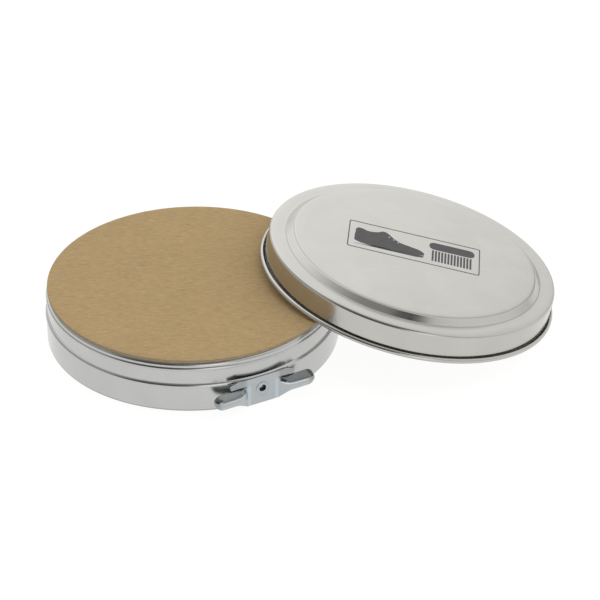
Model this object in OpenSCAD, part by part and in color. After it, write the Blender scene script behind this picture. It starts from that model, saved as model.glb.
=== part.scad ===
// Shoe polish tin: a shallow drawn tin with a twist key on its wall, a card disc lying on
// its rim, and the pressed lid leaning against it with its far edge on the table.
// Millimetres, +Z up. The origin is the centre of the tin's underside.

/* [Tin] */
// Outside diameter of the lower wall
tin_d = 87; // [80:1:95]
// Height of the stop bead that the closed lid comes down to
shoulder_h = 8.25; // [7.8:0.05:9]
// Height of the crown of the rolled rim
rim_h = 16; // [15.6:0.1:17]
// Thickness of the tinplate
sheet = 0.3; // [0.25:0.05:0.35]

/* [Lid] */
// Height of the lid from its curl to its raised panel
lid_h = 10.9; // [10:0.1:13]
// Diameter of the raised panel
panel_d = 74.2; // [60:0.2:76]
// Height of the raised panel above the land around it
panel_rise = 2; // [1:0.1:2.2]
// Distance between the tin's axis and the middle of the lid, as the lid leans
lid_distance = 65.1; // [62:0.1:68]
// Direction from the tin to the leaning lid, anticlockwise from +X
lid_direction = 10.1; // [0:0.1:20]

/* [Twist key] */
// Direction in which the key faces, anticlockwise from +X
key_direction = -61.3; // [-75:0.1:-50]
// Height of the rivet that the key turns on
key_h = 5.1; // [4.8:0.1:5.2]
// Reach of the key's right wing from the rivet
right_wing = 16.6; // [15:0.1:18]
// Reach of the key's left wing from the rivet
left_wing = 15.7; // [15:0.1:18]
// Thickness of the key's steel
key_sheet = 0.6; // [0.5:0.05:0.7]
// Diameter of the rivet's shank
rivet_d = 2.7; // [2.4:0.1:3]

/* [Filling] */
// Thickness of the card disc
card_t = 0.95; // [0.6:0.05:1.2]
// Height of the surface of the polish
polish_h = 12.9; // [8:0.1:12.9]

/* [Hidden] */
$fn = 96;

// Tin: wall, stop bead, neck, locking bead and rolled rim
wall_r = tin_d / 2;
foot_r = 0.3;
bead_out = 0.25;
bead_low_r = 0.35;
bead_top_r = 1.1;
neck_r = wall_r - 0.35;
lock_h = rim_h - 2.2;
lock_out = 0.25;
lock_low_r = 0.3;
lock_top_r = 1;
collar_r = neck_r - 0.11;
roll_r = 1.3;
roll_end = 235;
groove_r = 0.414 * tin_d;
groove_w = 2.4;
groove_d = 0.45;

// Card disc and polish
card_r = neck_r - 0.2;
card_gap = 0.05;
card_top = rim_h + card_gap + card_t;
polish_r = neck_r - sheet - 0.1;
polish_gap = 0.05;

// Lid: skirt, rounded shoulder, stepped panel and outward curl
skirt_r = wall_r + 0.45;
shoulder_r = 1;
land_h = lid_h - panel_rise;
panel_r = panel_d / 2;
step_run = panel_rise;
step_corner = 0.3;
curl_r = 0.8;
curl_in = curl_r - sheet;
curl_mid = skirt_r + curl_in;
curl_end = 442;

// The lid leans with its curl on the edge of the card and on the table
lean_gap = 0.45;
lean_cross = (lid_distance * lid_distance + card_r * card_r - curl_mid * curl_mid) / (2 * lid_distance);
lean_reach = lid_distance - lean_cross;
lid_tilt = atan((card_top + lean_gap) / (curl_mid + lean_reach));
lid_base_z = curl_mid * sin(lid_tilt) + curl_r * (1 - cos(lid_tilt));

// Twist key: plate, cam tabs, dished middle and scooped wings
key_back = wall_r + bead_out + 0.35;
dish_r = 3;
dish_depth = 0.45;
dish_slope = 0.6;
key_bore_r = rivet_d / 2 + 0.06;
crease_u = 4.8;
plate_top = 4.3;
plate_low = 4.7;
low_corner = 0.5;
tab_u = 10.4;
tab_low = 2.1;
tab_rise = 0.1;
tab_cut = [2.6, 0.9];
slit_w = 0.4;
wing_reach = [right_wing, left_wing];
wing_r = 2.15;
wing_full_u = 8.2;
wing_v = -0.5;
wing_w = 0.65;
wing_low = 0.2;
wing_open = 6;

// Rivet: head inside the wall, hollow end turned over the dished middle of the key
shank_r = rivet_d / 2;
head_r = 2.6;
head_t = 0.5;
head_face = sqrt(pow(wall_r - sheet, 2) - pow(head_r, 2)) - 0.02;
flange_r = shank_r + 0.75;
flange_t = 0.35;
flange_gap = 0.05;
flange_base = key_back - dish_depth + key_sheet + flange_gap;
rivet_bore_r = 1.05;
rivet_bore_d = 2.2;
wall_hole_r = shank_r + 0.04;
far = 20;

tinplate = [0.78, 0.78, 0.76];
zinc = [0.66, 0.7, 0.74];
kraft = [0.67, 0.57, 0.42];
wax = [0.2, 0.13, 0.08];

// Points along an arc round centre c, from angle a0 to angle a1
function arc(c, r, a0, a1, n) =
    [for (i = [0:n]) let (a = a0 + (a1 - a0) * i / n) c + r * [cos(a), sin(a)]];

// Direction in which a path runs at its point i
function heading(path, i) =
    let (d = path[min(i + 1, len(path) - 1)] - path[max(i - 1, 0)]) d / norm(d);

// The path moved sideways by t, to its left where t is positive
function beside(path, t) =
    [for (i = [0:len(path) - 1]) let (d = heading(path, i)) path[i] + t * [-d[1], d[0]]];

function reversed(list) = [for (i = [len(list) - 1:-1:0]) list[i]];

// A rolled bead: a tight turn out of the wall at low_r, and a wider turn back in to top_r
function bulge(low_r, top_r, h, out, low_arc, top_arc) = concat(
    arc([low_r + out - low_arc, h], low_arc, -acos(1 - out / low_arc), -8, 5),
    arc([low_r + out - top_arc, h], top_arc, 0, acos(1 - (low_r + out - top_r) / top_arc), 8)
);

// Outer surface of the tin, from the middle of its underside to the end of its rolled rim
tin_path = concat(
    [[0, 0], [groove_r - groove_w / 2, 0]],
    [[groove_r - groove_w / 4, groove_d], [groove_r + groove_w / 4, groove_d]],
    [[groove_r + groove_w / 2, 0]],
    arc([wall_r - foot_r, foot_r], foot_r, -90, 0, 8),
    bulge(wall_r, neck_r, shoulder_h, bead_out, bead_low_r, bead_top_r),
    bulge(neck_r, collar_r, lock_h, lock_out, lock_low_r, lock_top_r),
    arc([collar_r - roll_r, rim_h - roll_r], roll_r, 0, roll_end, 24)
);

// Outer surface of the lid, from the middle of its panel to the end of its curl
lid_path = concat(
    [[0, lid_h], [panel_r - step_corner, lid_h], [panel_r + step_corner / 2, lid_h - step_corner / 2]],
    [[panel_r + step_run - step_corner / 2, land_h + step_corner / 2]],
    [[panel_r + step_run + step_corner, land_h]],
    arc([skirt_r - shoulder_r, land_h - shoulder_r], shoulder_r, 90, 0, 10),
    arc([curl_mid, curl_r], curl_in, 180, curl_end, 24)
);

// A round sheet-metal shell whose surface follows the path, with its thickness on one side
module spun_shell(path, thickness) {
    rotate_extrude($fn = 180)
        polygon(concat(path, reversed(beside(path, thickness))));
}

// Moves its children from the key's own axes (x along, y up, z outwards) to the tin's wall
module on_wall() {
    rotate([0, 0, key_direction + 90])
        translate([0, 0, key_h])
            rotate([90, 0, 0])
                children();
}

module tin_base() {
    color(tinplate)
        difference() {
            spun_shell(tin_path, sheet);
            on_wall()
                translate([0, 0, wall_r - far / 2])
                    cylinder(h = far, r = wall_hole_r, $fn = 48);
        }
}

// The cake of polish, poured round the rivet's head
module polish() {
    color(wax)
        difference() {
            translate([0, 0, sheet + groove_d + polish_gap])
                cylinder(h = polish_h - sheet - groove_d - polish_gap, r = polish_r, $fn = 180);
            on_wall()
                translate([0, 0, head_face - head_t - polish_gap])
                    cylinder(h = far, r = head_r + polish_gap, $fn = 48);
        }
}

module key_rivet() {
    color(zinc)
        on_wall()
            difference() {
                union() {
                    translate([0, 0, head_face - head_t])
                        cylinder(h = head_t, r = head_r, $fn = 48);
                    translate([0, 0, head_face - head_t])
                        cylinder(h = flange_base + flange_t - head_face + head_t, r = shank_r, $fn = 48);
                    translate([0, 0, flange_base])
                        cylinder(h = flange_t, r1 = flange_r, r2 = flange_r - 0.2, $fn = 48);
                }
                translate([0, 0, flange_base + flange_t - rivet_bore_d])
                    cylinder(h = far, r = rivet_bore_r, $fn = 48);
            }
}

// Flat middle of the key with the two cam tabs that push the lid up
module key_plate() {
    half = [
        [0, plate_top], [tab_u - tab_cut[0], plate_top + tab_rise], [tab_u, plate_top - tab_cut[1]],
        [tab_u - slit_w, tab_low], [crease_u + slit_w, tab_low - slit_w],
        [crease_u + slit_w, -plate_low + low_corner], [0, -plate_low]
    ];
    mirrored = [for (p = reversed(half)) [-p[0], p[1]]];
    linear_extrude(height = key_sheet)
        polygon(concat(half, mirrored));
}

// Solid form of one wing; inset shrinks it and drop stretches it downwards
module wing_form(reach, inset, drop) {
    r = wing_r - inset;
    tip_u = reach - wing_r;
    hull() {
        translate([crease_u - inset, low_corner - plate_low - drop, -inset])
            cube([slit_w, plate_low + tab_low - 2 * low_corner + drop - inset, key_sheet]);
        translate([wing_full_u, wing_v, wing_w])
            rotate([0, 90, 0])
                cylinder(h = tip_u - wing_full_u, r = r, $fn = 32);
        translate([tip_u, wing_v, wing_w])
            sphere(r = r, $fn = 32);
        for (u = [wing_full_u, tip_u])
            translate([u, wing_v - wing_low - drop, wing_w])
                sphere(r = r, $fn = 32);
    }
}

// One scooped wing: a thin shell, open towards the tin and underneath
module key_wing(reach) {
    difference() {
        wing_form(reach, 0, 0);
        wing_form(reach, key_sheet, wing_open);
        translate([0, -far / 2, -far])
            cube([far, far, far]);
    }
}

module twist_key() {
    color(zinc)
        on_wall()
            translate([0, 0, key_back])
                difference() {
                    union() {
                        key_plate();
                        for (side = [0, 1])
                            mirror([side, 0, 0])
                                key_wing(wing_reach[side]);
                        translate([0, 0, -dish_depth])
                            cylinder(h = dish_depth, r1 = dish_r - dish_slope - 0.4, r2 = dish_r - 0.4, $fn = 48);
                    }
                    translate([0, 0, key_sheet - dish_depth])
                        cylinder(h = dish_depth + 0.01, r1 = dish_r - dish_slope, r2 = dish_r + 0.01, $fn = 48);
                    translate([0, 0, -far / 2])
                        cylinder(h = far, r = key_bore_r, $fn = 48);
                }
}

module card_disc() {
    color(kraft)
        translate([0, 0, rim_h + card_gap])
            cylinder(h = card_t, r = card_r, $fn = 180);
}

module lid() {
    color(tinplate)
        rotate([0, 0, lid_direction])
            translate([lid_distance - curl_r * sin(lid_tilt), 0, lid_base_z])
                rotate([0, lid_tilt, 0])
                    spun_shell(lid_path, -sheet);
}

tin_base();
polish();
key_rivet();
twist_key();
card_disc();
lid();
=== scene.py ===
"""Looks for the shoe polish tin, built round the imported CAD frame.

Shapes are written in millimetres and scaled to metres when their meshes are made. The
finished pieces replace the CAD nodes one for one and ride on the same bodies.
"""

import math
import random

import bmesh
import bpy
import numpy as np
from mathutils import Matrix, Vector


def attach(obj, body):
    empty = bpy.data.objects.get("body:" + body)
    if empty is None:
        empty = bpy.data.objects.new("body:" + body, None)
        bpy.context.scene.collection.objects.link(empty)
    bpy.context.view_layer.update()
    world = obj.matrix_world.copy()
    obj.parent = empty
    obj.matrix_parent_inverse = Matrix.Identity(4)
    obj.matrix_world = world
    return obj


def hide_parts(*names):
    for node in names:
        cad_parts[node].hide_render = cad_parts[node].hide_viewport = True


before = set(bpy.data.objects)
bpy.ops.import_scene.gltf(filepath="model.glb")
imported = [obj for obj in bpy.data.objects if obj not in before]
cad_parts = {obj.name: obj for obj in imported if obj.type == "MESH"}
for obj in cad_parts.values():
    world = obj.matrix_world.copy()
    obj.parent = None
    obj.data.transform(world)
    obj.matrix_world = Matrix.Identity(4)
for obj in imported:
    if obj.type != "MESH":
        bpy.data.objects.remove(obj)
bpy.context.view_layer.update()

MM = 0.001
SEGMENTS = 256
LONGEST_RUN = 3.0
SEED = 11

# Tin
SHEET = 0.3
WALL_R = 43.5
FOOT_R = 0.3
BEAD_Z = 8.25
BEAD_OUT = 0.25
BEAD_LOW_R = 0.35
BEAD_TOP_R = 1.1
NECK_R = WALL_R - 0.35
LOCK_Z = 13.8
LOCK_OUT = 0.25
LOCK_LOW_R = 0.3
LOCK_TOP_R = 1.0
COLLAR_R = NECK_R - 0.11
RIM_H = 16.0
CURL_TOP_R = 1.3
ROLL_END = 235
GROOVE_R = 36.0
GROOVE_W = 2.4
GROOVE_D = 0.45
NECK_START = 0.12

# Card disc and polish
CARD_R = NECK_R - 0.2
CARD_T = 0.95
CARD_GAP = 0.05
CARD_BASE = RIM_H + CARD_GAP
CARD_TOP = CARD_BASE + CARD_T
CARD_EDGE_R = 0.12
POLISH_R = 42.5
POLISH_TOP = 12.85
POLISH_BASE = SHEET + GROOVE_D + 0.05
POLISH_CLIMB = 0.35
CLIMB_POWER = 14
HOLLOWS = 9
HOLLOW_D = 0.05

# Lid
LID_H = 10.9
PANEL_RISE = 2.0
PANEL_R = 37.1
STEP_RUN = 2.0
LAND_H = LID_H - PANEL_RISE
SKIRT_R = WALL_R + 0.45
SHOULDER_R = 1.0
PANEL_EDGE_R = 1.7
STEP_FOOT_R = 0.45
CURL_R = 0.8
CURL_IN = CURL_R - SHEET
CURL_MID = SKIRT_R + CURL_IN
CURL_END = 442
LID_DISTANCE = 65.1
LID_DIRECTION = 10.1
LEAN_GAP = 0.45
# Radii of the painted shade lines at the lid's panel edge and step foot
LID_SHADE_LINE_RADII = (PANEL_R + 0.05, PANEL_R + STEP_RUN + 0.05)
TIN_RIPPLE = 0.05
LID_RIPPLE = 0.04

# Twist key: u runs along it, v up and w outwards
KEY_DIRECTION = -61.3
KEY_H = 5.1
KEY_BACK = WALL_R + BEAD_OUT + 0.35
KEY_SHEET = 0.6
MID_W = KEY_SHEET / 2
BORE_R = 1.41
DISH_R = 3.3
DISH_SLOPE = 1.4
DISH_DEPTH = 0.3
DISH_RINGS = (BORE_R, 1.6, 1.9, 2.2, 2.38, 2.5, 2.6, 2.7, 2.8, 2.9, 3.02, 3.25)
PLATE_LOW = -4.7
PLATE_TOP = 4.3
HALF_BLOCK = 3.9
BLOCK_CELLS = 16
BLOCK_START = 2
SLIT_ROW = 12
CREASE_U = 4.8
SLIT_OPENS_OVER = 0.8
TAB_U = 10.4
TAB_LOW = 2.1
TAB_RISE = 0.1
TAB_CUT_U = 2.6
TAB_CUT_V = 1.0
TAB_SPLAY = 0.05
TAB_LEAN = 0.06
WING_REACH = {1: 16.6, -1: 15.7}
WING_BACK_V = 1.8
WING_TIP_R = 2.3
WING_W = 0.6
WING_FORM = ((-2.5, 1.45, 0), (0.25, 2.85, 1.6), (1.6, 0.1, 0))
TIP_V = {1: -1.1, -1: 0.0}
TIP_ANGLES = (10, 20, 30, 40, 50, 60, 68, 75, 81, 86, 90)
BOTTOM_BLEND = 4.4
TOP_BLEND = 1.6
RIDGE_LIFT = 0.9
RIDGE_LEVEL_U = 11.0

# Rivet
SHANK_R = 1.35
HEAD_R = 2.6
HEAD_T = 0.5
RIVET_BORE_R = 1.05
BORE_DEPTH = 2.2
FLANGE_R = 2.1
FLANGE_T = 0.14

# Printed mark: a frame with a shoe and a brush
FRAME_W = 40.6
FRAME_H = 16.4
FRAME_LINE = 0.32
FRAME_CORNER_R = 0.8
MARK_TURN = -14.7
MARK_AT = (0.1, 1.6)
INK_HALF_T = 0.045
SHOE_SCALE = 1.14
SHOE_AT = (-18.4, -5.6)
SHOE_SOLE = [
    (0.2, 0.0), (4.4, 0.0), (4.7, 0.8), (8.2, 1.0), (11.5, 0.2), (16.8, 0.1), (18.6, 0.5), (18.9, 1.2),
]
SHOE_UPPER = [
    (0.4, 1.6), (18.8, 1.7), (18.9, 2.5), (18.0, 3.7), (15.2, 4.7), (12.3, 5.6), (10.2, 7.4), (8.6, 9.3),
    (7.6, 9.6), (6.2, 8.6), (3.6, 8.0), (1.6, 8.8), (0.7, 8.6), (0.2, 6.0), (0.1, 3.4),
]
EYELETS = 3
EYELET_R = 0.28
EYELET_AT = (9.3, 7.3)
EYELET_STEP = (1.25, -0.95)
BRUSH_BACK = (4.6, 1.6, 18.6, 5.8, 1.8)
TUFTS = 13
TUFT_START = 5.5
TUFT_STEP = 0.97
TUFT_W = 0.6
TUFT_LOW, TUFT_TOP = -5.6, 0.9

# Colours
TIN_COLOUR = (0.52, 0.525, 0.51)
LID_COLOUR = (0.525, 0.512, 0.483)
PLATE_ROUGHNESS = 0.2
PLATE_UNEVENNESS = 0.03
ZINC_COLOUR = (0.46, 0.47, 0.465)
ZINC_TINT = (0.42, 0.47, 0.50)
# Colour of the painted highlights just inside the key's creases
ZINC_CREASE_HIGHLIGHT = (0.48, 0.56, 0.60)
# Colours of the painted shade inside the rivet's bore
BORE_SHADE_COLOUR = (0.09, 0.09, 0.095)
BORE_SHADE_TINT = (0.06, 0.065, 0.07)
CARD_COLOUR = (0.53, 0.372, 0.184)
CARD_EDGE_COLOUR = (0.33, 0.27, 0.185)
WAX_DARK = (0.016, 0.008, 0.004)
WAX_LIGHT = (0.035, 0.018, 0.009)
INK_DARK = (0.035, 0.034, 0.036)
INK_WORN = (0.09, 0.088, 0.09)

# Studio: each soft region has an azimuth, an elevation, an inner and an outer spread, in degrees,
# and its brightness
STUDIO_LEVEL = 0.5
STUDIO = (
    (95, 45, 30, 56, 1.36),
    (56, 26, 6, 21, 0.9),
    (15, 45, 25, 60, 1.0),
    (246, 24, 16, 44, 0.1),
    (294, 59, 5, 16, 0.04),
    (246, 66, 8, 20, 0.35),
    (310, 16, 10, 34, 0.68),
    (286, 14, 8, 18, 1.6),
)
FLOOR_HALF = 3.0
FLOOR_GREY = 0.12
FLOOR_GLOW = 0.94

# Camera, in degrees and millimetres
CAMERA_ELEVATION = 32.522
CAMERA_ROLL = 0.218
CAMERA_DISTANCE = 749.426
CAMERA_AIM = (31.928, 8.333)
CAMERA_LENS = 150
CAMERA_SENSOR = 36


# ---------------------------------------------------------------- paths


def arc(centre, radius, start, end, steps):
    """Points along an arc, from angle start to angle end in degrees."""
    angles = [math.radians(start + (end - start) * i / steps) for i in range(steps + 1)]
    return [(centre[0] + radius * math.cos(a), centre[1] + radius * math.sin(a)) for a in angles]


def rounded(corners, steps=6):
    """A path through (x, y, radius) corners, each turned with its own radius."""
    path = []
    for i, (x, y, radius) in enumerate(corners):
        if radius == 0 or i in (0, len(corners) - 1):
            path.append((x, y))
            continue
        here = np.array([x, y])
        a = np.array(corners[i - 1][:2]) - here
        b = np.array(corners[i + 1][:2]) - here
        a, b = a / np.linalg.norm(a), b / np.linalg.norm(b)
        half = math.acos(max(-1.0, min(1.0, float(a @ b)))) / 2
        middle = (a + b) / np.linalg.norm(a + b)
        centre = here + middle * radius / math.sin(half)
        first = here + a * radius / math.tan(half) - centre
        last = here + b * radius / math.tan(half) - centre
        for k in range(steps + 1):
            t = k / steps
            swing = math.pi - 2 * half
            mix = (math.sin((1 - t) * swing) * first + math.sin(t * swing) * last) / math.sin(swing)
            path.append(tuple(centre + mix))
    return path


def beside(path, distance):
    """The path moved sideways by a distance, to its left where that is positive."""
    points = np.array(path, float)
    step = np.diff(points, axis=0)
    step /= np.linalg.norm(step, axis=1)[:, None]
    ahead = np.vstack([step, step[-1:]])
    behind = np.vstack([step[:1], step])
    normal = np.stack([-(ahead + behind)[:, 1], (ahead + behind)[:, 0]], axis=1)
    normal /= np.linalg.norm(normal, axis=1)[:, None]
    slack = np.clip((normal * np.stack([-ahead[:, 1], ahead[:, 0]], axis=1)).sum(1), 0.6, 1)
    return [tuple(p) for p in points + normal * (distance / slack)[:, None]]


def spread(path, longest):
    """The path with its long straight runs cut into shorter ones."""
    out = [path[0]]
    for a, b in zip(path, path[1:]):
        n = max(1, math.ceil(math.dist(a, b) / longest))
        out += [tuple(np.array(a) + (np.array(b) - np.array(a)) * k / n) for k in range(1, n + 1)]
    return out


def sheet_section(path, thickness):
    """The closed section of a bent sheet, from its outer face round to its inner face."""
    return path + beside(path, thickness)[::-1]


# ---------------------------------------------------------------- meshes


def make_object(name, verts, faces, place=Matrix.Identity(4), sharp=35):
    """A smooth-shaded object from points in millimetres, placed by a matrix in millimetres."""
    mesh = bpy.data.meshes.new(name)
    mesh.from_pydata([place @ Vector(v) * MM for v in verts], [], faces)
    tidy_mesh(mesh)
    mesh.polygons.foreach_set("use_smooth", [True] * len(mesh.polygons))
    mesh.set_sharp_from_angle(angle=math.radians(sharp))
    made = bpy.data.objects.new(name, mesh)
    bpy.context.scene.collection.objects.link(made)
    return made


def tidy_mesh(mesh, merge=2e-7):
    """Joins doubled points and turns every face outwards."""
    work = bmesh.new()
    work.from_mesh(mesh)
    bmesh.ops.remove_doubles(work, verts=work.verts, dist=merge)
    bmesh.ops.dissolve_degenerate(work, edges=work.edges, dist=merge)
    bmesh.ops.recalc_face_normals(work, faces=work.faces)
    work.to_mesh(mesh)
    work.free()


def lathe(name, section, place=Matrix.Identity(4), segments=SEGMENTS, warp=None, sharp=35):
    """Spins a section of (radius, height) points about the local z axis."""
    verts, rings, faces = [], [], []
    turns = [2 * math.pi * k / segments for k in range(segments)]
    closed = section[0][0] > 1e-6
    for radius, height in section:
        if radius < 1e-6:
            rings.append([len(verts)])
            verts.append((0, 0, height))
        else:
            rings.append(list(range(len(verts), len(verts) + segments)))
            verts += [(radius * math.cos(t), radius * math.sin(t), height) for t in turns]
    pairs = list(zip(rings, rings[1:])) + ([(rings[-1], rings[0])] if closed else [])
    for low, high in pairs:
        for k in range(segments):
            n = (k + 1) % segments
            corners = [low[k % len(low)], low[n % len(low)], high[n % len(high)], high[k % len(high)]]
            corners = list(dict.fromkeys(corners))
            if len(corners) > 2:
                faces.append(corners)
    if warp:
        verts = [warp(v) for v in verts]
    return make_object(name, verts, faces, place, sharp)


def shaped(source, name, *modifiers):
    """A new object with the given modifiers applied to the source, which is removed."""
    for kind, settings in modifiers:
        added = source.modifiers.new(kind, kind)
        for key, value in settings.items():
            setattr(added, key, value)
    graph = bpy.context.evaluated_depsgraph_get()
    mesh = bpy.data.meshes.new_from_object(source.evaluated_get(graph))
    bpy.data.objects.remove(source)
    mesh.name = name
    made = bpy.data.objects.new(name, mesh)
    bpy.context.scene.collection.objects.link(made)
    return made


# ---------------------------------------------------------------- shader helpers


def add(tree, kind, inputs=None, **settings):
    """Adds a shader node with its settings, and sets or links its inputs."""
    made = tree.nodes.new(kind)
    for key, value in settings.items():
        setattr(made, key, value)
    for key, value in (inputs or {}).items():
        if isinstance(value, bpy.types.NodeSocket):
            tree.links.new(value, made.inputs[key])
        else:
            made.inputs[key].default_value = value
    return made


def new_material(name, **constants):
    """A material with one Principled shader, whose constants are set on its own sockets."""
    material = bpy.data.materials.new(name)
    material.use_nodes = True
    tree = material.node_tree
    tree.nodes.clear()
    shader = add(tree, "ShaderNodeBsdfPrincipled", constants)
    add(tree, "ShaderNodeOutputMaterial", {"Surface": shader.outputs["BSDF"]})
    return material, tree, shader


def coordinates(tree, place=Matrix.Identity(4), scale=(1, 1, 1)):
    """Points in a piece's own axes, in metres times scale."""
    where = add(tree, "ShaderNodeTexCoord").outputs["Object"]
    turned = add(tree, "ShaderNodeMapping", {
        "Vector": where,
        "Location": place.to_translation() * MM,
        "Rotation": place.to_euler(),
    }, vector_type="TEXTURE").outputs["Vector"]
    return add(tree, "ShaderNodeMapping", {"Vector": turned, "Scale": scale}).outputs["Vector"]


def noise(tree, vector, scale, detail=2.0, roughness=0.5, distortion=0.0):
    """A noise texture's value, about 0.5 on average."""
    return add(tree, "ShaderNodeTexNoise", {
        "Vector": vector,
        "Scale": scale,
        "Detail": detail,
        "Roughness": roughness,
        "Distortion": distortion,
    }).outputs["Fac"]


def ranged(tree, value, low, high, to_low=0.0, to_high=1.0, eased=False):
    """Maps a value from one range to another, clamped, and eased at both ends if asked."""
    return add(tree, "ShaderNodeMapRange", {
        "Value": value,
        "From Min": low,
        "From Max": high,
        "To Min": to_low,
        "To Max": to_high,
    }, interpolation_type="SMOOTHSTEP" if eased else "LINEAR").outputs["Result"]


def maths(tree, operation, a, b=0.0):
    """One operation on two values."""
    return add(tree, "ShaderNodeMath", {0: a, 1: b}, operation=operation).outputs["Value"]


def colour_mix(tree, factor, a, b):
    """A colour between colours a and b, each an RGB tuple or a socket."""
    made = add(tree, "ShaderNodeMix", data_type="RGBA")
    for key, value in ((0, factor), (6, a), (7, b)):
        if isinstance(value, bpy.types.NodeSocket):
            tree.links.new(value, made.inputs[key])
        else:
            made.inputs[key].default_value = value if key == 0 else (*value, 1)
    return made.outputs[2]


def times(factor, colour):
    """A colour made lighter or darker by a factor."""
    return tuple(factor * c for c in colour)


def bumped(tree, height, distance, strength=1.0, under=None):
    """A normal from a height in the given distance, in millimetres."""
    inputs = {"Height": height, "Distance": distance * MM, "Strength": strength}
    if under is not None:
        inputs["Normal"] = under
    return add(tree, "ShaderNodeBump", inputs).outputs["Normal"]


# ---------------------------------------------------------------- materials


def scratches(tree, where, scale, stretch, turns, width=0.012):
    """Sparse fine scratches in several directions, 1 on a scratch and 0 elsewhere."""
    total = None
    for i, turn in enumerate(turns):
        spun = add(tree, "ShaderNodeMapping", {
            "Vector": where,
            "Rotation": (0, 0, math.radians(turn)),
            "Location": (0.37 * i, 0.11 * i, 0.05 * i),
            "Scale": (1, stretch, 1),
        }).outputs["Vector"]
        ridge = maths(tree, "ABSOLUTE", maths(tree, "SUBTRACT", noise(tree, spun, scale, 1.0), 0.5))
        line = ranged(tree, ridge, 0.0, width, 1.0, 0.0)
        gate = ranged(tree, noise(tree, spun, scale * 0.35, 0.0), 0.6, 0.68)
        one = maths(tree, "MULTIPLY", line, gate)
        total = one if total is None else maths(tree, "MAXIMUM", total, one)
    return total


def tinplate_material(name, place, colour, roughness, spread_of_roughness, rings=()):
    """Bright tinplate: rolling grain, smudges, fine scratches, painted shade lines at its pressed creases,
    and painted shade along its bottom edge.
    """
    material, tree, shader = new_material(name, Metallic=1.0, IOR=1.5)
    where = coordinates(tree, place)
    grain_place = coordinates(tree, place, (60, 2600, 2600))
    grain = noise(tree, grain_place, 1.0, 3.0, 0.6)
    smudge = noise(tree, where, 70.0, 3.0, 0.55, 0.6)
    speck = noise(tree, where, 2600.0, 2.0, 0.6)
    waves = noise(tree, where, 45.0, 1.0, 0.4)
    marks = scratches(tree, where, 260.0, 26.0, (8, 63, -41))
    shade = times(0.93, colour)
    tone = colour_mix(tree, ranged(tree, smudge, 0.3, 0.7), shade, colour)
    tone = colour_mix(tree, ranged(tree, speck, 0.66, 0.8, 0.0, 0.35), tone, times(0.6, colour))
    apart = add(tree, "ShaderNodeSeparateXYZ", {0: where})
    height = apart.outputs["Z"]
    flat = add(tree, "ShaderNodeCombineXYZ", {"X": apart.outputs["X"], "Y": apart.outputs["Y"]}).outputs[0]
    reach = add(tree, "ShaderNodeVectorMath", {0: flat}, operation="LENGTH").outputs["Value"]
    # Painted shade: a thin dark line over each crease radius given in rings
    for ring in rings:
        away = maths(tree, "ABSOLUTE", maths(tree, "SUBTRACT", reach, ring * MM))
        line = ranged(tree, away, 0.08 * MM, 0.22 * MM, 0.4, 0.0, True)
        tone = colour_mix(tree, line, tone, times(0.35, colour))
    # Painted contact shade: darker at heights below 0.4 to 0.6 mm in the piece's own axes, along its bottom
    # edge
    painted_foot_shade = ranged(tree, height, 0.4 * MM, 0.6 * MM, 0.45, 0.0)
    tone = colour_mix(tree, painted_foot_shade, tone, times(0.3, colour))
    tree.links.new(tone, shader.inputs["Base Color"])
    rough = ranged(tree, smudge, 0.3, 0.7, roughness - spread_of_roughness, roughness + spread_of_roughness)
    rough = maths(tree, "ADD", rough, ranged(tree, grain, 0.3, 0.7, -0.03, 0.03))
    rough = maths(tree, "ADD", rough, maths(tree, "MULTIPLY", marks, 0.1))
    tree.links.new(rough, shader.inputs["Roughness"])
    normal = bumped(tree, waves, 0.035)
    normal = bumped(tree, grain, 0.00015, under=normal)
    normal = bumped(tree, marks, 0.0025, under=normal)
    tree.links.new(normal, shader.inputs["Normal"])
    return material


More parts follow.
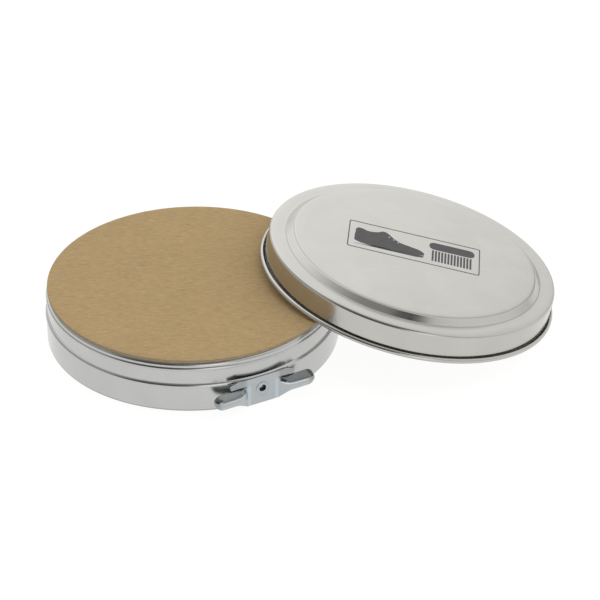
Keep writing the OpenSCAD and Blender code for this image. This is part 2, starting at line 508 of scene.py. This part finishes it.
def painted_key_light(tree, where, tone, colour):
    """Painted light on the key: pale painted highlights at the creases, a painted highlight along the
    wings' ridge, and painted shade on the tabs, above the ridge and at the wing tips.
    """
    apart = add(tree, "ShaderNodeSeparateXYZ", {0: where})
    across = maths(tree, "MULTIPLY", apart.outputs["X"], 1 / MM)
    along = maths(tree, "ABSOLUTE", across)
    up = maths(tree, "MULTIPLY", apart.outputs["Y"], 1 / MM)
    lift = maths(tree, "POWER", ranged(tree, along, RIDGE_LEVEL_U, CREASE_U), 2.0)
    above = maths(tree, "SUBTRACT", up, maths(tree, "MULTIPLY", lift, RIDGE_LIFT))
    # Painted highlights: pale bands just inside the creases
    crease = maths(tree, "ABSOLUTE", maths(tree, "SUBTRACT", along, CREASE_U - 0.4))
    crease_highlight = ranged(tree, crease, 0.2, 0.8, 0.8, 0.0, True)
    crease_highlight = maths(tree, "MULTIPLY", crease_highlight, ranged(tree, up, 1.4, 2.6, 1.0, 0.0, True))
    tone = colour_mix(tree, crease_highlight, tone, ZINC_CREASE_HIGHLIGHT)
    # Painted shade: the tabs above the slits are darkened slightly
    over_slit = ranged(tree, up, TAB_LOW - 0.1, TAB_LOW)
    tab_shade = maths(tree, "MULTIPLY", over_slit, ranged(tree, along, 4.6, 6.0, 0.0, 0.35, True))
    tone = colour_mix(tree, tab_shade, tone, times(0.3, colour))
    # Painted shade on the scoops above the ridge, darker on the right wing
    wing = ranged(tree, along, 5.0, 6.0, 0.0, 1.0, True)
    wing = maths(tree, "MULTIPLY", wing, ranged(tree, up, TAB_LOW - 0.1, TAB_LOW, 1.0, 0.0))
    scoop_shade_depth = ranged(tree, across, -5.0, 5.0, 0.55, 0.78, True)
    scoop_shade = maths(tree, "MULTIPLY", wing, ranged(tree, above, 0.1, 0.5, 0.0, 1.0, True))
    tone = colour_mix(tree, maths(tree, "MULTIPLY", scoop_shade, scoop_shade_depth), tone, times(0.25, colour))
    # Painted shade: the wing tips are darkened
    end = ranged(tree, along, 13.6, 15.2, 0.0, 0.5, True)
    tone = colour_mix(tree, end, tone, times(0.35, colour))
    # A painted highlight along the ridge, fainter on the left wing
    ridge = maths(tree, "ABSOLUTE", above)
    ridge_highlight = maths(tree, "MULTIPLY", wing, ranged(tree, ridge, 0.05, 0.28, 0.7, 0.0, True))
    ridge_highlight = maths(tree, "MULTIPLY", ridge_highlight, ranged(tree, along, 12.5, 14.0, 1.0, 0.0, True))
    ridge_highlight = maths(tree, "MULTIPLY", ridge_highlight, ranged(tree, across, -5.0, 5.0, 0.45, 1.0, True))
    return colour_mix(tree, ridge_highlight, tone, times(1.7, colour))


def zinc_material(name, place, colour, tint, roughness):
    """Zinc-plated steel with a bluish passivation that shifts in patches, light wear, and the key's painted
    highlights and painted shade.
    """
    material, tree, shader = new_material(name, Metallic=1.0)
    where = coordinates(tree, place)
    patch = noise(tree, where, 420.0, 3.0, 0.6, 0.8)
    fine = noise(tree, where, 3200.0, 3.0, 0.6)
    marks = scratches(tree, where, 500.0, 14.0, (4, 80, -35))
    tone = colour_mix(tree, ranged(tree, patch, 0.38, 0.62), colour, tint)
    tone = colour_mix(tree, ranged(tree, fine, 0.35, 0.75, 0.0, 0.4), tone, times(0.72, colour))
    # Painted highlights and painted shade on the key
    tone = painted_key_light(tree, where, tone, colour)
    tree.links.new(tone, shader.inputs["Base Color"])
    rough = ranged(tree, patch, 0.35, 0.65, roughness - 0.05, roughness + 0.07)
    rough = maths(tree, "ADD", rough, maths(tree, "MULTIPLY", marks, 0.12))
    tree.links.new(rough, shader.inputs["Roughness"])
    normal = bumped(tree, fine, 0.004)
    normal = bumped(tree, patch, 0.02, under=normal)
    normal = bumped(tree, marks, 0.004, under=normal)
    tree.links.new(normal, shader.inputs["Normal"])
    return material


def card_material(name, colour, cut_edge=False):
    """Grey-brown card: fibres that lie mostly one way, dark and light flecks, a matt surface."""
    material, tree, shader = new_material(name, **{
        "Roughness": 0.92,
        "Specular IOR Level": 0.25,
        "Sheen Weight": 0.05,
    })
    where = coordinates(tree)
    along = coordinates(tree, scale=(420, 2400, 2400))
    fibre = noise(tree, along, 1.0, 3.0, 0.6, 0.4)
    cross = noise(tree, coordinates(tree, scale=(1500, 700, 1500)), 1.0, 3.0, 0.6, 0.3)
    fleck = noise(tree, coordinates(tree, scale=(300, 1500, 900)), 1.0, 1.0, 0.5, 0.5)
    light = noise(tree, coordinates(tree, scale=(260, 1300, 700)), 1.3, 1.0, 0.5, 0.5)
    cloud = noise(tree, where, 60.0, 3.0, 0.6)
    dark = times(0.8, colour)
    pale = tuple(min(1.0, 1.16 * c) for c in colour)
    tone = colour_mix(tree, ranged(tree, fibre, 0.3, 0.7), dark, pale)
    tone = colour_mix(tree, ranged(tree, cross, 0.35, 0.65, 0.0, 0.3), tone, dark)
    tone = colour_mix(tree, ranged(tree, fleck, 0.66, 0.76, 0.0, 0.45), tone, times(0.5, colour))
    tone = colour_mix(tree, ranged(tree, light, 0.68, 0.76, 0.0, 0.5), tone, times(1.35, colour))
    tone = colour_mix(tree, ranged(tree, cloud, 0.3, 0.7, 0.0, 0.25), tone, pale)
    tree.links.new(tone, shader.inputs["Base Color"])
    height = maths(tree, "ADD", fibre, maths(tree, "MULTIPLY", cross, 0.6))
    normal = bumped(tree, height, 0.09 if cut_edge else 0.05)
    tree.links.new(normal, shader.inputs["Normal"])
    return material


def wax_material(name):
    """Dark brown polish: a satin wax surface with faint pouring swirls and a fine grain."""
    material, tree, shader = new_material(name, **{
        "Specular IOR Level": 0.5,
        "Coat Weight": 0.15,
        "Coat Roughness": 0.3,
    })
    where = coordinates(tree)
    cloud = noise(tree, where, 90.0, 3.0, 0.55, 1.5)
    fine = noise(tree, where, 1400.0, 3.0, 0.6)
    tone = colour_mix(tree, ranged(tree, cloud, 0.3, 0.7), WAX_DARK, WAX_LIGHT)
    tree.links.new(tone, shader.inputs["Base Color"])
    rough = ranged(tree, cloud, 0.3, 0.7, 0.28, 0.48)
    tree.links.new(rough, shader.inputs["Roughness"])
    normal = bumped(tree, cloud, 0.25)
    normal = bumped(tree, fine, 0.012, under=normal)
    tree.links.new(normal, shader.inputs["Normal"])
    return material


def ink_material(name, place):
    """Black printing ink, slightly worn, on the lid."""
    material, tree, shader = new_material(name, **{"Specular IOR Level": 0.4})
    where = coordinates(tree, place)
    worn = noise(tree, where, 700.0, 3.0, 0.6)
    tone = colour_mix(tree, ranged(tree, worn, 0.35, 0.75), INK_DARK, INK_WORN)
    tree.links.new(tone, shader.inputs["Base Color"])
    tree.links.new(ranged(tree, worn, 0.3, 0.7, 0.38, 0.55), shader.inputs["Roughness"])
    normal = bumped(tree, worn, 0.004)
    tree.links.new(normal, shader.inputs["Normal"])
    return material


# ---------------------------------------------------------------- places


def lid_place():
    """The matrix, in millimetres, from the lid's own axes to where it leans."""
    cross = (LID_DISTANCE**2 + CARD_R**2 - CURL_MID**2) / (2 * LID_DISTANCE)
    tilt = math.atan((CARD_TOP + LEAN_GAP) / (CURL_MID + LID_DISTANCE - cross))
    base = CURL_MID * math.sin(tilt) + CURL_R * (1 - math.cos(tilt))
    return (
        Matrix.Rotation(math.radians(LID_DIRECTION), 4, "Z")
        @ Matrix.Translation((LID_DISTANCE - CURL_R * math.sin(tilt), 0, base))
        @ Matrix.Rotation(tilt, 4, "Y")
    )


def key_place(out=0.0):
    """The matrix, in millimetres, from the key's axes (x along, y up, z outwards)."""
    return (
        Matrix.Rotation(math.radians(KEY_DIRECTION + 90), 4, "Z")
        @ Matrix.Translation((0, 0, KEY_H))
        @ Matrix.Rotation(math.radians(90), 4, "X")
        @ Matrix.Translation((0, 0, out))
    )


def rippled(depth, seed):
    """A warp that pushes points in and out by up to a small depth, in slow waves round the axis."""
    draw = random.Random(seed)
    waves = [(n, draw.uniform(0, math.tau), depth / n) for n in (2, 3, 5, 7)]

    def warp(point):
        x, y, z = point
        turn = math.atan2(y, x)
        push = sum(size * math.sin(n * turn + phase) for n, phase, size in waves)
        share = min(1.0, math.hypot(x, y) / WALL_R)
        scale = 1 + push * share**4 / WALL_R
        return (x * scale, y * scale, z)

    return warp


# ---------------------------------------------------------------- pieces


def tin_path():
    """The tin's outer face, from the middle of its underside to the end of its rolled rim."""
    low, high = GROOVE_R - GROOVE_W / 2, GROOVE_R + GROOVE_W / 2
    base = rounded([
        (0, 0, 0),
        (low, 0, 0.5),
        (low + GROOVE_W / 4, GROOVE_D, 0.4),
        (high - GROOVE_W / 4, GROOVE_D, 0.4),
        (high, 0, 0.5),
        (WALL_R, 0, FOOT_R),
        (WALL_R, BEAD_Z - 1, 0),
    ])
    shoulder = bulge(WALL_R, NECK_R, BEAD_Z, BEAD_OUT, BEAD_LOW_R, BEAD_TOP_R)
    lock = bulge(NECK_R, COLLAR_R, LOCK_Z, LOCK_OUT, LOCK_LOW_R, LOCK_TOP_R)
    roll = arc((COLLAR_R - CURL_TOP_R, RIM_H - CURL_TOP_R), CURL_TOP_R, 0, ROLL_END, 40)
    neck = [(NECK_R, shoulder[-1][1] + NECK_START), (NECK_R, lock[0][1] - NECK_START)]
    return spread(base + shoulder + neck + lock + roll, LONGEST_RUN)


def bulge(low_r, top_r, height, out, low_arc, top_arc):
    """A rolled bead: a tight turn out of the wall at low_r, and a wider turn back in to top_r."""
    start = -math.degrees(math.acos(1 - out / low_arc))
    end = math.degrees(math.acos(1 - (low_r + out - top_r) / top_arc))
    under = arc((low_r + out - low_arc, height), low_arc, start, 0, 8)
    over = arc((low_r + out - top_arc, height), top_arc, 0, end, 14)
    return under + over[1:]


def lid_path():
    """The lid's outer face, from the middle of its panel to the end of its curl."""
    top = rounded([
        (0, LID_H, 0),
        (PANEL_R, LID_H, PANEL_EDGE_R),
        (PANEL_R + STEP_RUN, LAND_H, STEP_FOOT_R),
        (SKIRT_R, LAND_H, SHOULDER_R),
        (SKIRT_R, CURL_R + 0.1, 0),
    ], 10)
    return spread(top + arc((CURL_MID, CURL_R), CURL_IN, 180, CURL_END, 36), LONGEST_RUN)


def build_tin(material):
    """The drawn tin: base with its stiffening groove, wall, stop bead, neck and rolled rim."""
    made = lathe("tin_shell", sheet_section(tin_path(), SHEET), warp=rippled(TIN_RIPPLE, SEED))
    made.data.materials.append(material)
    return made


def build_lid(material, place):
    """The pressed lid: raised panel, land, rounded shoulder, skirt and outward curl."""
    made = lathe("lid_shell", sheet_section(lid_path(), -SHEET), place, warp=rippled(LID_RIPPLE, SEED + 1))
    made.data.materials.append(material)
    return made


def build_card(face, edge):
    """The card disc, with a slightly crushed cut edge."""
    section = rounded([
        (0, CARD_BASE, 0),
        (CARD_R - 0.03, CARD_BASE, CARD_EDGE_R),
        (CARD_R, CARD_BASE + CARD_T / 2, 0),
        (CARD_R - 0.02, CARD_TOP, CARD_EDGE_R),
        (0, CARD_TOP, 0),
    ], 5)
    made = lathe("card_liner", spread(section, LONGEST_RUN))
    made.data.materials.append(face)
    made.data.materials.append(edge)
    for polygon in made.data.polygons:
        if abs(polygon.normal.z) < 0.6:
            polygon.material_index = 1
    return made


def build_polish(material):
    """The cake of polish, climbing slightly at the wall, with shallow hollows left by cooling."""
    draw = random.Random(SEED + 2)
    swirls = [(draw.uniform(0, 30), draw.uniform(0, math.tau), draw.uniform(4, 9)) for _ in range(HOLLOWS)]

    def warp(point):
        x, y, z = point
        if z < POLISH_TOP - 1:
            return point
        dent = 0.0
        for distance, turn, size in swirls:
            gap = math.hypot(x - distance * math.cos(turn), y - distance * math.sin(turn))
            dent -= HOLLOW_D * math.exp(-((gap / size) ** 2))
        return (x, y, z + dent)

    radii = np.linspace(POLISH_R, 0, 46)
    low = POLISH_TOP - POLISH_CLIMB
    rise = [(r, low + POLISH_CLIMB * (r / POLISH_R) ** CLIMB_POWER) for r in radii]
    foot = [(0, POLISH_BASE), (POLISH_R - 1, POLISH_BASE), (POLISH_R, POLISH_BASE + 1)]
    made = lathe("polish_cake", spread(foot, 6.0) + rise, segments=160, warp=warp)
    made.data.materials.append(material)
    return made


def build_rivet(material, inside_material, place):
    """The hollow rivet: flat head inside the wall, shank, and its end rolled over the key."""
    inside = math.sqrt((WALL_R - SHEET) ** 2 - HEAD_R**2) - 0.02
    seat = KEY_BACK - DISH_DEPTH + KEY_SHEET + 0.03
    crown = seat + FLANGE_T
    bottom = crown - BORE_DEPTH
    section = rounded([
        (0, inside - HEAD_T, 0),
        (HEAD_R, inside - HEAD_T, 0.2),
        (HEAD_R, inside, 0.1),
        (SHANK_R, inside, 0),
        (SHANK_R, seat, 0),
        (FLANGE_R, seat, 0.02),
        (FLANGE_R - 0.2, crown, 0.3),
        (RIVET_BORE_R, crown, 0.2),
        (RIVET_BORE_R, bottom, 0.3),
        (0, bottom, 0),
    ], 6)
    made = lathe("hollow_rivet", section, place, segments=96)
    made.data.materials.append(material)
    made.data.materials.append(inside_material)
    # Faces inside the bore take the second material, the painted shade
    back = place.inverted()
    for face in made.data.polygons:
        middle = back @ (face.center / MM)
        in_hollow = math.hypot(middle.x, middle.y) < RIVET_BORE_R + 0.02
        if in_hollow and bottom - 0.1 < middle.z < crown - 0.15:
            face.material_index = 1
    return made


# ---------------------------------------------------------------- key


def smooth(x):
    """0 below 0, 1 above 1, and an even ease between."""
    x = max(0.0, min(1.0, x))
    return x * x * (3 - 2 * x)


def wing_rise(u, t):
    """How far the sheet has turned from plate to wing: soon at the slit, slowly at the bottom."""
    x = max(0.0, min(1.0, (u - CREASE_U) / (BOTTOM_BLEND + (TOP_BLEND - BOTTOM_BLEND) * t)))
    return 0.55 * math.sin(x * math.pi / 2) + 0.45 * smooth(x)


def wing_point(u, t, side):
    """A point (v, w) on a wing's middle surface: t is 0 at its bottom edge, 1 at its back edge."""
    tip = WING_REACH[side] - MID_W - WING_TIP_R
    flat_v = PLATE_LOW + t * (WING_BACK_V - PLATE_LOW)
    v, w = wing_section(t)
    near = max(0.0, (RIDGE_LEVEL_U - u) / (RIDGE_LEVEL_U - CREASE_U))
    v += RIDGE_LIFT * near**2 * math.sin(math.pi * t)
    b = wing_rise(u, t)
    v, w = flat_v + (v - flat_v) * b, MID_W + (w - MID_W) * b
    if u > tip:
        shrink = math.sqrt(max(0.0, 1 - ((u - tip) / WING_TIP_R) ** 2))
        v = TIP_V[side] + (v - TIP_V[side]) * shrink
        w = WING_W + (w - WING_W) * shrink
    return v, w


def wing_section(t):
    """The point (v, w) at a share t of the way round the full wing's section."""
    path = np.array(rounded(WING_FORM, 10))
    along = np.concatenate([[0], np.cumsum(np.linalg.norm(np.diff(path, axis=0), axis=1))])
    return tuple(float(np.interp(t * along[-1], along, path[:, k])) for k in (0, 1))


def wing_columns(reach):
    """Distances along the key at which the wing is cut, close together round its tip."""
    tip = reach - MID_W - WING_TIP_R
    near = np.linspace(CREASE_U, tip, 30)[1:]
    cap = [tip + WING_TIP_R * math.sin(math.radians(a)) for a in TIP_ANGLES]
    return list(near) + cap


def dish(u, v):
    """Height of the plate's middle surface near the rivet."""
    return MID_W - DISH_DEPTH * smooth((DISH_R - math.hypot(u, v)) / DISH_SLOPE)


class Patch:
    """Points and faces gathered for one sheet."""

    def __init__(self):
        self.points = []
        self.faces = []

    def row(self, points):
        """Adds points and returns their numbers."""
        first = len(self.points)
        self.points += points
        return list(range(first, len(self.points)))

    def strip(self, a, b):
        """Joins two rows of the same length."""
        self.faces += [(a[i], a[i + 1], b[i + 1], b[i]) for i in range(len(a) - 1)]


def plate_rows():
    """Heights of the plate's grid lines, from its bottom edge to its top edge."""
    block = list(np.linspace(-HALF_BLOCK, HALF_BLOCK, BLOCK_CELLS + 1))
    return [PLATE_LOW, (PLATE_LOW - HALF_BLOCK) / 2] + block + [PLATE_TOP]


def add_plate(patch):
    """The flat middle of the key: an open grid round a block with the dished rivet hole."""
    rows = plate_rows()
    block = list(np.linspace(-HALF_BLOCK, HALF_BLOCK, BLOCK_CELLS + 1))
    columns = [-CREASE_U, -(CREASE_U + HALF_BLOCK) / 2] + block + [(CREASE_U + HALF_BLOCK) / 2, CREASE_U]
    grid = [patch.row([(u, v, MID_W) for u in columns]) for v in rows]
    low, high = BLOCK_START, BLOCK_START + BLOCK_CELLS
    for j in range(len(rows) - 1):
        for i in range(len(columns) - 1):
            inside = low <= i < high and low <= j < high
            if not inside:
                patch.faces.append((grid[j][i], grid[j][i + 1], grid[j + 1][i + 1], grid[j + 1][i]))
    ring = [(low, i) for i in range(low, high)] + [(j, high) for j in range(low, high)]
    ring += [(high, i) for i in range(high, low, -1)] + [(j, low) for j in range(high, low, -1)]
    border = [grid[j][i] for j, i in ring]
    turns = [math.atan2(patch.points[k][1], patch.points[k][0]) for k in border]
    rings = []
    for radius in DISH_RINGS:
        circle = [(radius * math.cos(a), radius * math.sin(a)) for a in turns]
        rings.append(patch.row([(u, v, dish(u, v)) for u, v in circle]))
    rings.append(border)
    for a, b in zip(rings, rings[1:]):
        patch.strip(a + a[:1], b + b[:1])


def add_wing(patch, side):
    """One wing, below the slit: flat at the crease, rolled over and rounded at its tip."""
    rows = plate_rows()[:BLOCK_START + SLIT_ROW + 1]
    share = [(v - PLATE_LOW) / (rows[-1] - PLATE_LOW) for v in rows]
    previous = patch.row([(side * CREASE_U, v, MID_W) for v in rows])
    for u in wing_columns(WING_REACH[side]):
        points = []
        opened = smooth((u - CREASE_U) / SLIT_OPENS_OVER)
        for v, t in zip(rows, share):
            wing_v, wing_w = wing_point(u, t, side)
            flat_t = v + (wing_v - v) * max(opened, wing_rise(u, t))
            points.append((side * u, flat_t, wing_w))
        current = patch.row(points)
        patch.strip(previous, current)
        previous = current


def add_tab(patch, side):
    """One cam tab, above the slit, with its cut-off corner."""
    rows = plate_rows()[BLOCK_START + SLIT_ROW:]
    previous = patch.row([(side * CREASE_U, v, MID_W) for v in rows])
    for u in np.linspace(CREASE_U, TAB_U, 15)[1:]:
        points = []
        opened = smooth((u - CREASE_U) / SLIT_OPENS_OVER)
        low = rows[0] + (TAB_LOW + 0.05 - rows[0]) * opened
        top = PLATE_TOP + TAB_RISE * smooth((u - CREASE_U) / 3)
        top -= max(0.0, (u - TAB_U + TAB_CUT_U) / TAB_CUT_U) * TAB_CUT_V
        for v in rows:
            t = (v - rows[0]) / (rows[-1] - rows[0])
            lean = CREASE_U + (u - CREASE_U) * (1 - TAB_SPLAY * (1 - t))
            points.append((side * lean, low + (top - low) * t, MID_W - TAB_LEAN * t * (u - CREASE_U)))
        current = patch.row(points)
        patch.strip(previous, current)
        previous = current


def build_key(material, place):
    """The pressed twist key: dished plate, two cam tabs and two rolled-over wings."""
    patch = Patch()
    add_plate(patch)
    for side in (1, -1):
        add_wing(patch, side)
        add_tab(patch, side)
    mesh = bpy.data.meshes.new("key_sheet")
    mesh.from_pydata(patch.points, [], patch.faces)
    tidy_mesh(mesh, 1e-4)
    sheet = bpy.data.objects.new("key_sheet", mesh)
    bpy.context.scene.collection.objects.link(sheet)
    thicken = {"thickness": KEY_SHEET, "offset": 0.0, "use_even_offset": True, "use_quality_normals": True}
    soften = {"width": 0.12, "segments": 3, "limit_method": "ANGLE", "angle_limit": math.radians(50)}
    made = shaped(sheet, "twist_key_sheet", ("SOLIDIFY", thicken), ("BEVEL", soften))
    made.data.transform(Matrix.Scale(MM, 4) @ place)
    made.data.polygons.foreach_set("use_smooth", [True] * len(made.data.polygons))
    made.data.set_sharp_from_angle(angle=math.radians(40))
    made.data.materials.append(material)
    return made


# ---------------------------------------------------------------- printed mark


def placed(points):
    """Points of the shoe, at its size and place in the frame."""
    return [(SHOE_SCALE * x + SHOE_AT[0], SHOE_SCALE * y + SHOE_AT[1]) for x, y in points]


def curve_spline(curve, points, handles="VECTOR"):
    """A closed spline through points."""
    spline = curve.splines.new("BEZIER")
    spline.bezier_points.add(len(points) - 1)
    for target, point in zip(spline.bezier_points, points):
        target.co = (*point, 0)
        target.handle_left_type = target.handle_right_type = handles
    spline.use_cyclic_u = True
    spline.resolution_u = 8


def rounded_box(x0, y0, x1, y1, radius):
    """Corner points of a rounded rectangle."""
    out = []
    left, right, low, high = x0 + radius, x1 - radius, y0 + radius, y1 - radius
    for cx, cy, start in ((right, high, 0), (left, high, 90), (left, low, 180), (right, low, 270)):
        out += arc((cx, cy), radius, start, start + 90, 5)
    return out


def flat_print(name, outlines, place, material):
    """A thin closed print from filled outlines, sitting in and just over the lid's face."""
    curve = bpy.data.curves.new(name, "CURVE")
    curve.dimensions = "2D"
    curve.fill_mode = "BOTH"
    curve.extrude = INK_HALF_T
    for points, handles in outlines:
        curve_spline(curve, points, handles)
    source = bpy.data.objects.new(name + "_curve", curve)
    bpy.context.scene.collection.objects.link(source)
    made = shaped(source, name)
    made.data.transform(Matrix.Scale(MM, 4) @ place)
    tidy_mesh(made.data)
    made.data.materials.clear()
    made.data.materials.append(material)
    return made


def build_mark(material, place):
    """A printed keyline frame with a shoe and a brush in it."""
    turned = Matrix.Rotation(math.radians(MARK_TURN), 4, "Z")
    at = place @ Matrix.Translation((*MARK_AT, LID_H - 0.005)) @ turned
    x, y = FRAME_W / 2, FRAME_H / 2
    inner_x, inner_y = x - FRAME_LINE, y - FRAME_LINE
    border = [
        (rounded_box(-x, -y, x, y, FRAME_CORNER_R), "VECTOR"),
        (rounded_box(-inner_x, -inner_y, inner_x, inner_y, FRAME_CORNER_R - 0.3), "VECTOR"),
    ]
    shoe = [(placed(SHOE_UPPER), "AUTO")]
    for k in range(EYELETS):
        centre = (EYELET_AT[0] + k * EYELET_STEP[0], EYELET_AT[1] + k * EYELET_STEP[1])
        shoe.append((placed(arc(centre, EYELET_R, 0, 330, 11)), "VECTOR"))
    sole = [(placed(SHOE_SOLE), "VECTOR")]
    brush = [(rounded_box(*BRUSH_BACK), "VECTOR")]
    for k in range(TUFTS):
        left = TUFT_START + k * TUFT_STEP
        right = left + TUFT_W
        tuft = [(left, TUFT_LOW), (right, TUFT_LOW), (right, TUFT_TOP), (left, TUFT_TOP)]
        brush.append((tuft, "VECTOR"))
    groups = (("mark_border", border), ("mark_shoe", shoe), ("mark_sole", sole), ("mark_brush", brush))
    return [flat_print(name, outlines, at, material) for name, outlines in groups]


# ---------------------------------------------------------------- studio


def build_floor():
    """A large pale table top that glows a little, as on a light table."""
    half = FLOOR_HALF
    corners = [(-half, -half, 0), (half, -half, 0), (half, half, 0), (-half, half, 0)]
    mesh = bpy.data.meshes.new("floor")
    mesh.from_pydata(corners, [], [(0, 1, 2, 3)])
    floor = bpy.data.objects.new("floor", mesh)
    bpy.context.scene.collection.objects.link(floor)
    material, tree, shader = new_material("floor_white", **{
        "Base Color": (FLOOR_GREY, FLOOR_GREY, FLOOR_GREY, 1),
        "Roughness": 1.0,
        "Specular IOR Level": 0.0,
        "Emission Color": (1, 1, 0.995, 1),
        "Emission Strength": FLOOR_GLOW,
    })
    mesh.materials.append(material)
    return floor


def direction(azimuth, elevation):
    """A unit vector towards an azimuth from +X and a height above the horizon, in degrees."""
    a, e = math.radians(azimuth), math.radians(elevation)
    return (math.cos(a) * math.cos(e), math.sin(a) * math.cos(e), math.sin(e))


def region(tree, ray, azimuth, elevation, inner, outer):
    """1 inside a round region of the sky, falling softly to 0 outside it."""
    middle = direction(azimuth, elevation)
    near = add(tree, "ShaderNodeVectorMath", {0: ray, 1: middle}, operation="DOT_PRODUCT").outputs["Value"]
    edges = math.cos(math.radians(outer)), math.cos(math.radians(inner))
    return ranged(tree, near, *edges, eased=True)


def build_world():
    """A soft grey studio with bright panels behind, a softbox in front and dark gaps between them."""
    world = bpy.data.worlds.new("studio")
    bpy.context.scene.world = world
    world.use_nodes = True
    tree = world.node_tree
    tree.nodes.clear()
    ray = add(tree, "ShaderNodeTexCoord").outputs["Generated"]
    level = STUDIO_LEVEL
    for azimuth, elevation, inner, outer, target in STUDIO:
        gap = maths(tree, "SUBTRACT", target, level)
        share = region(tree, ray, azimuth, elevation, inner, outer)
        level = maths(tree, "ADD", level, maths(tree, "MULTIPLY", gap, share))
    back = add(tree, "ShaderNodeBackground", {"Color": (1, 1, 1, 1), "Strength": level})
    add(tree, "ShaderNodeOutputWorld", {"Surface": back.outputs["Background"]})


def build_camera():
    """The camera, aimed beside the tin so that the tin and lid sit as in the photograph."""
    elevation, roll = math.radians(CAMERA_ELEVATION), math.radians(CAMERA_ROLL)
    forward = Vector((0, math.cos(elevation), -math.sin(elevation)))
    right = Vector((1, 0, 0))
    up = right.cross(forward)
    turned_right = math.cos(roll) * right + math.sin(roll) * up
    turned_up = -math.sin(roll) * right + math.cos(roll) * up
    aim = turned_right * CAMERA_AIM[0] + turned_up * CAMERA_AIM[1]
    where = (aim - forward * CAMERA_DISTANCE) * MM
    data = bpy.data.cameras.new("camera")
    data.sensor_width = CAMERA_SENSOR
    data.lens = CAMERA_LENS
    data.clip_start, data.clip_end = 0.05, 20
    camera = bpy.data.objects.new("camera", data)
    turned = Matrix((turned_right, turned_up, -forward)).transposed().to_4x4()
    camera.matrix_world = Matrix.Translation(where) @ turned
    bpy.context.scene.collection.objects.link(camera)
    bpy.context.scene.camera = camera


def main():
    """Builds the studio and every piece, and ties the pieces to the CAD frame."""
    scene = bpy.context.scene
    scene.view_settings.view_transform = "Standard"
    build_camera()
    build_world()
    build_floor()
    lid_at, key_at = lid_place(), key_place(KEY_BACK)
    plate = (PLATE_ROUGHNESS, PLATE_UNEVENNESS)
    tin_metal = tinplate_material("tinplate_tin", Matrix.Identity(4), TIN_COLOUR, *plate)
    lid_metal = tinplate_material("tinplate_lid", lid_at, LID_COLOUR, *plate, LID_SHADE_LINE_RADII)
    zinc = zinc_material("zinc_key", key_at, ZINC_COLOUR, ZINC_TINT, 0.22)
    # Painted shade: a dark copy of the zinc for the inside of the rivet's bore
    bore_shade = zinc_material("zinc_bore_shade", key_at, BORE_SHADE_COLOUR, BORE_SHADE_TINT, 0.5)
    ink = ink_material("print_ink", lid_at)
    face = card_material("card_face", CARD_COLOUR)
    edge = card_material("card_edge", CARD_EDGE_COLOUR, True)
    pieces = (
        (build_tin(tin_metal), "tin", "tin_base", "tinplate_body"),
        (build_polish(wax_material("polish_wax")), "tin", "polish", "polish_wax"),
        (build_rivet(zinc, bore_shade, key_place()), "tin", "key_rivet", "zinc_rivet"),
        (build_key(zinc, key_at), "key", "twist_key", "zinc_key"),
        (build_card(face, edge), "card", "card_disc", "kraft_card"),
        (build_lid(lid_metal, lid_at), "lid_body", "lid", "tinplate_lid"),
    )
    for piece, body, node, slot in pieces:
        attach(piece, body)
        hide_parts(node)
    for piece in build_mark(ink, lid_at):
        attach(piece, "lid_body")


main()
